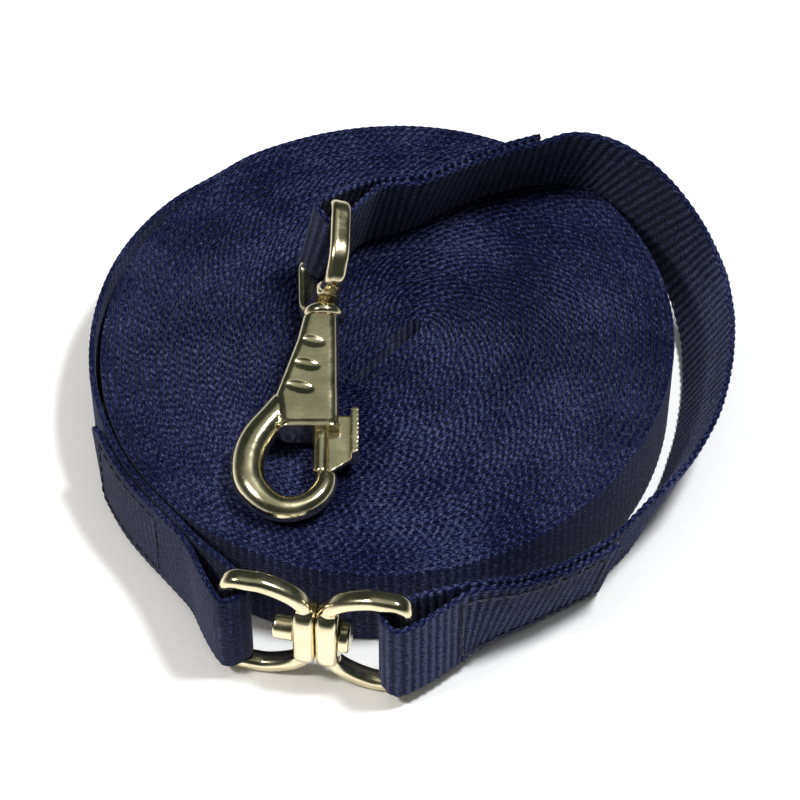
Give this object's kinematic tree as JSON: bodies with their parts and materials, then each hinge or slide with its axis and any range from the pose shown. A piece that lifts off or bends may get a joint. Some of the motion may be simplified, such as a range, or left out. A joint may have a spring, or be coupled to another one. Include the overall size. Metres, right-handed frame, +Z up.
{
  "type": "lead rope",
  "caption": "Flat webbing lead line rolled up on its side, with a double-eye swivel, a stitched leader strap and a bolt snap.",
  "frame": {"origin": "centre of the roll's lower face, on the surface that it lies on", "axes": "+Z up from the surface, +Y away from the swivel towards the back of the roll, +X to the right; the snap points along -Y"},
  "size_m": [0.1476, 0.1494, 0.0558],
  "materials": {
    "webbing": "woven",
    "thread": "matte",
    "brass_plate": "polished",
    "spring_steel": "satin"
  },
  "bodies": {
    "root": {"line_roll": "webbing", "line_core": "webbing", "line_outer_turn": "webbing", "line_end_fold": "webbing", "line_stitching": "thread", "leader_strap": "webbing", "leader_front_fold": "webbing", "leader_snap_fold": "webbing", "leader_front_stitching": "thread", "leader_snap_stitching": "thread", "swivel_left_eye": "brass_plate"},
    "swivel_rivet": {"swivel_rivet": "brass_plate"},
    "swivel_right_eye": {"swivel_right_eye": "brass_plate"},
    "snap_eye": {"snap_eye": "brass_plate"},
    "snap_body": {"snap_body": "brass_plate", "snap_collar": "brass_plate", "snap_spring": "spring_steel"},
    "snap_plunger": {"snap_plunger": "brass_plate", "snap_thumb_piece": "brass_plate"}
  },
  "joints": [
    {"name": "rivet_spin", "type": "hinge", "parent": "root", "child": "swivel_rivet", "pos_m": [-0.0158, -0.0747, 0.0165], "axis": [0.9816, -0.1908, 0], "continuous": true},
    {"name": "swivel_turn", "type": "hinge", "parent": "root", "child": "swivel_right_eye", "pos_m": [-0.0158, -0.0747, 0.0165], "axis": [0.9816, -0.1908, 0], "range_deg": [-25, 25], "deforming": ["leader_front_fold"]},
    {"name": "snap_eye_swing", "type": "hinge", "parent": "root", "child": "snap_eye", "pos_m": [-0.0153, 0.01707, 0.04129], "axis": [0.2924, -0.1743, 0.9403], "range_deg": [-25, 0]},
    {"name": "snap_swivel", "type": "hinge", "parent": "snap_eye", "child": "snap_body", "pos_m": [-0.0153, -0.0023, 0.0377], "axis": [0, 0.9833, 0.1822], "range_deg": [0, 18]},
    {"name": "bolt_slide", "type": "slide", "parent": "snap_body", "child": "snap_plunger", "axis": [0, 0.9833, 0.1822], "range_m": [0, 0.0085], "stiffness_N_per_m": 400, "springref_m": -0.006, "deforming": ["snap_spring"]}
  ]
}
